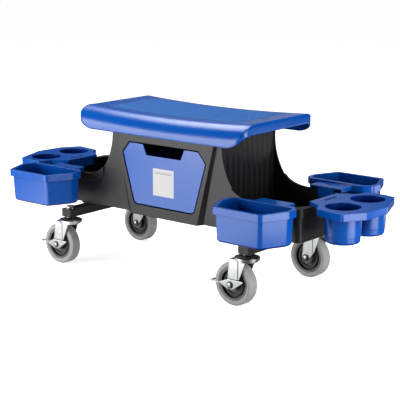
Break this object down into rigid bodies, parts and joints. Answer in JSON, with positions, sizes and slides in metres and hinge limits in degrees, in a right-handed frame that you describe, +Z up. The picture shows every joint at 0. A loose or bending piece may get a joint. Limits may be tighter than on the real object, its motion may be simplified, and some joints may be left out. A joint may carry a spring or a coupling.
{
  "type": "creeper seat",
  "caption": "Rolling creeper seat with a saddle top, front drawer, two tray wings, hook-on bins, cup trays and swivel casters",
  "frame": {"origin": "on the floor, under the middle of the seat", "axes": "+X along the seat to the right as seen from the drawer, -Y towards the drawer side (front), +Z up"},
  "size_m": [1.0638, 0.489, 0.3991],
  "materials": {
    "blue_plastic": "moulded blue polypropylene, satin",
    "black_plastic": "moulded black polypropylene, satin",
    "dark_plastic": "moulded dark grey wheel core",
    "black_paint": "black powder coat",
    "zinc_steel": "bright zinc plate",
    "chrome_steel": "polished nut and bolt",
    "grey_rubber": "mid grey non-marking rubber",
    "label_white": "blank white label"
  },
  "bodies": {
    "base": {"base_shell": "black_plastic", "seat_top": "blue_plastic", "seat_screws": "zinc_steel", "drawer_runners": "black_plastic", "left_cross_tube": "black_paint", "left_tube_plugs": "black_plastic", "left_tube_bolts": "zinc_steel", "right_cross_tube": "black_paint", "right_tube_plugs": "black_plastic", "right_tube_bolts": "zinc_steel", "front_left_stem": "zinc_steel", "front_left_stem_nut": "chrome_steel", "front_right_stem": "zinc_steel", "front_right_stem_nut": "chrome_steel", "rear_left_stem": "zinc_steel", "rear_left_stem_nut": "chrome_steel", "rear_right_stem": "zinc_steel", "rear_right_stem_nut": "chrome_steel"},
    "drawer": {"drawer_tub": "blue_plastic", "drawer_face": "blue_plastic", "drawer_label": "label_white"},
    "left_tray": {"left_cup_tray": "blue_plastic"},
    "right_tray": {"right_cup_tray": "blue_plastic"},
    "front_left_bin_body": {"front_left_bin": "blue_plastic"},
    "front_left_swivel_body": {"front_left_fork": "zinc_steel", "front_left_race_balls": "chrome_steel", "front_left_sleeve": "zinc_steel", "front_left_axle_bolt": "chrome_steel"},
    "front_left_wheel_body": {"front_left_hub": "dark_plastic", "front_left_tyre": "grey_rubber"},
    "front_left_lever_body": {"front_left_brake_lever": "zinc_steel"},
    "front_right_bin_body": {"front_right_bin": "blue_plastic"},
    "front_right_swivel_body": {"front_right_fork": "zinc_steel", "front_right_race_balls": "chrome_steel", "front_right_sleeve": "zinc_steel", "front_right_axle_bolt": "chrome_steel"},
    "front_right_wheel_body": {"front_right_hub": "dark_plastic", "front_right_tyre": "grey_rubber"},
    "front_right_lever_body": {"front_right_brake_lever": "zinc_steel"},
    "rear_left_bin_body": {"rear_left_bin": "blue_plastic"},
    "rear_left_swivel_body": {"rear_left_fork": "zinc_steel", "rear_left_race_balls": "chrome_steel", "rear_left_sleeve": "zinc_steel", "rear_left_axle_bolt": "chrome_steel"},
    "rear_left_wheel_body": {"rear_left_hub": "dark_plastic", "rear_left_tyre": "grey_rubber"},
    "rear_right_bin_body": {"rear_right_bin": "blue_plastic"},
    "rear_right_swivel_body": {"rear_right_fork": "zinc_steel", "rear_right_race_balls": "chrome_steel", "rear_right_sleeve": "zinc_steel", "rear_right_axle_bolt": "chrome_steel"},
    "rear_right_wheel_body": {"rear_right_hub": "dark_plastic", "rear_right_tyre": "grey_rubber"}
  },
  "joints": [
    {"name": "drawer_slide", "type": "slide", "parent": "base", "child": "drawer", "axis": [0, -1, 0], "range_m": [0, 0.17]},
    {"name": "left_tray_lift", "type": "slide", "parent": "base", "child": "left_tray", "axis": [0, 0, 1], "range_m": [0, 0.06]},
    {"name": "right_tray_lift", "type": "slide", "parent": "base", "child": "right_tray", "axis": [0, 0, 1], "range_m": [0, 0.06]},
    {"name": "front_left_bin_lift", "type": "slide", "parent": "base", "child": "front_left_bin_body", "axis": [0, 0, 1], "range_m": [0, 0.06]},
    {"name": "front_left_swivel", "type": "hinge", "parent": "base", "child": "front_left_swivel_body", "pos_m": [-0.275, -0.145, 0.112], "axis": [0, 0, 1], "continuous": true},
    {"name": "front_left_wheel_spin", "type": "hinge", "parent": "front_left_swivel_body", "child": "front_left_wheel_body", "pos_m": [-0.305, -0.145, 0.05], "axis": [0, 1, 0], "continuous": true},
    {"name": "front_left_brake", "type": "hinge", "parent": "front_left_swivel_body", "child": "front_left_lever_body", "pos_m": [-0.305, -0.167, 0.05], "axis": [0, -1, 0], "range_deg": [0, 15]},
    {"name": "front_right_bin_lift", "type": "slide", "parent": "base", "child": "front_right_bin_body", "axis": [0, 0, 1], "range_m": [0, 0.06]},
    {"name": "front_right_swivel", "type": "hinge", "parent": "base", "child": "front_right_swivel_body", "pos_m": [0.275, -0.145, 0.112], "axis": [0, 0, 1], "continuous": true},
    {"name": "front_right_wheel_spin", "type": "hinge", "parent": "front_right_swivel_body", "child": "front_right_wheel_body", "pos_m": [0.245, -0.145, 0.05], "axis": [0, 1, 0], "continuous": true},
    {"name": "front_right_brake", "type": "hinge", "parent": "front_right_swivel_body", "child": "front_right_lever_body", "pos_m": [0.245, -0.167, 0.05], "axis": [0, -1, 0], "range_deg": [0, 15]},
    {"name": "rear_left_bin_lift", "type": "slide", "parent": "base", "child": "rear_left_bin_body", "axis": [0, 0, 1], "range_m": [0, 0.06]},
    {"name": "rear_left_swivel", "type": "hinge", "parent": "base", "child": "rear_left_swivel_body", "pos_m": [-0.275, 0.145, 0.112], "axis": [0, 0, 1], "continuous": true},
    {"name": "rear_left_wheel_spin", "type": "hinge", "parent": "rear_left_swivel_body", "child": "rear_left_wheel_body", "pos_m": [-0.305, 0.145, 0.05], "axis": [0, 1, 0], "continuous": true},
    {"name": "rear_right_bin_lift", "type": "slide", "parent": "base", "child": "rear_right_bin_body", "axis": [0, 0, 1], "range_m": [0, 0.06]},
    {"name": "rear_right_swivel", "type": "hinge", "parent": "base", "child": "rear_right_swivel_body", "pos_m": [0.275, 0.145, 0.112], "axis": [0, 0, 1], "continuous": true},
    {"name": "rear_right_wheel_spin", "type": "hinge", "parent": "rear_right_swivel_body", "child": "rear_right_wheel_body", "pos_m": [0.245, 0.145, 0.05], "axis": [0, 1, 0], "continuous": true}
  ]
}
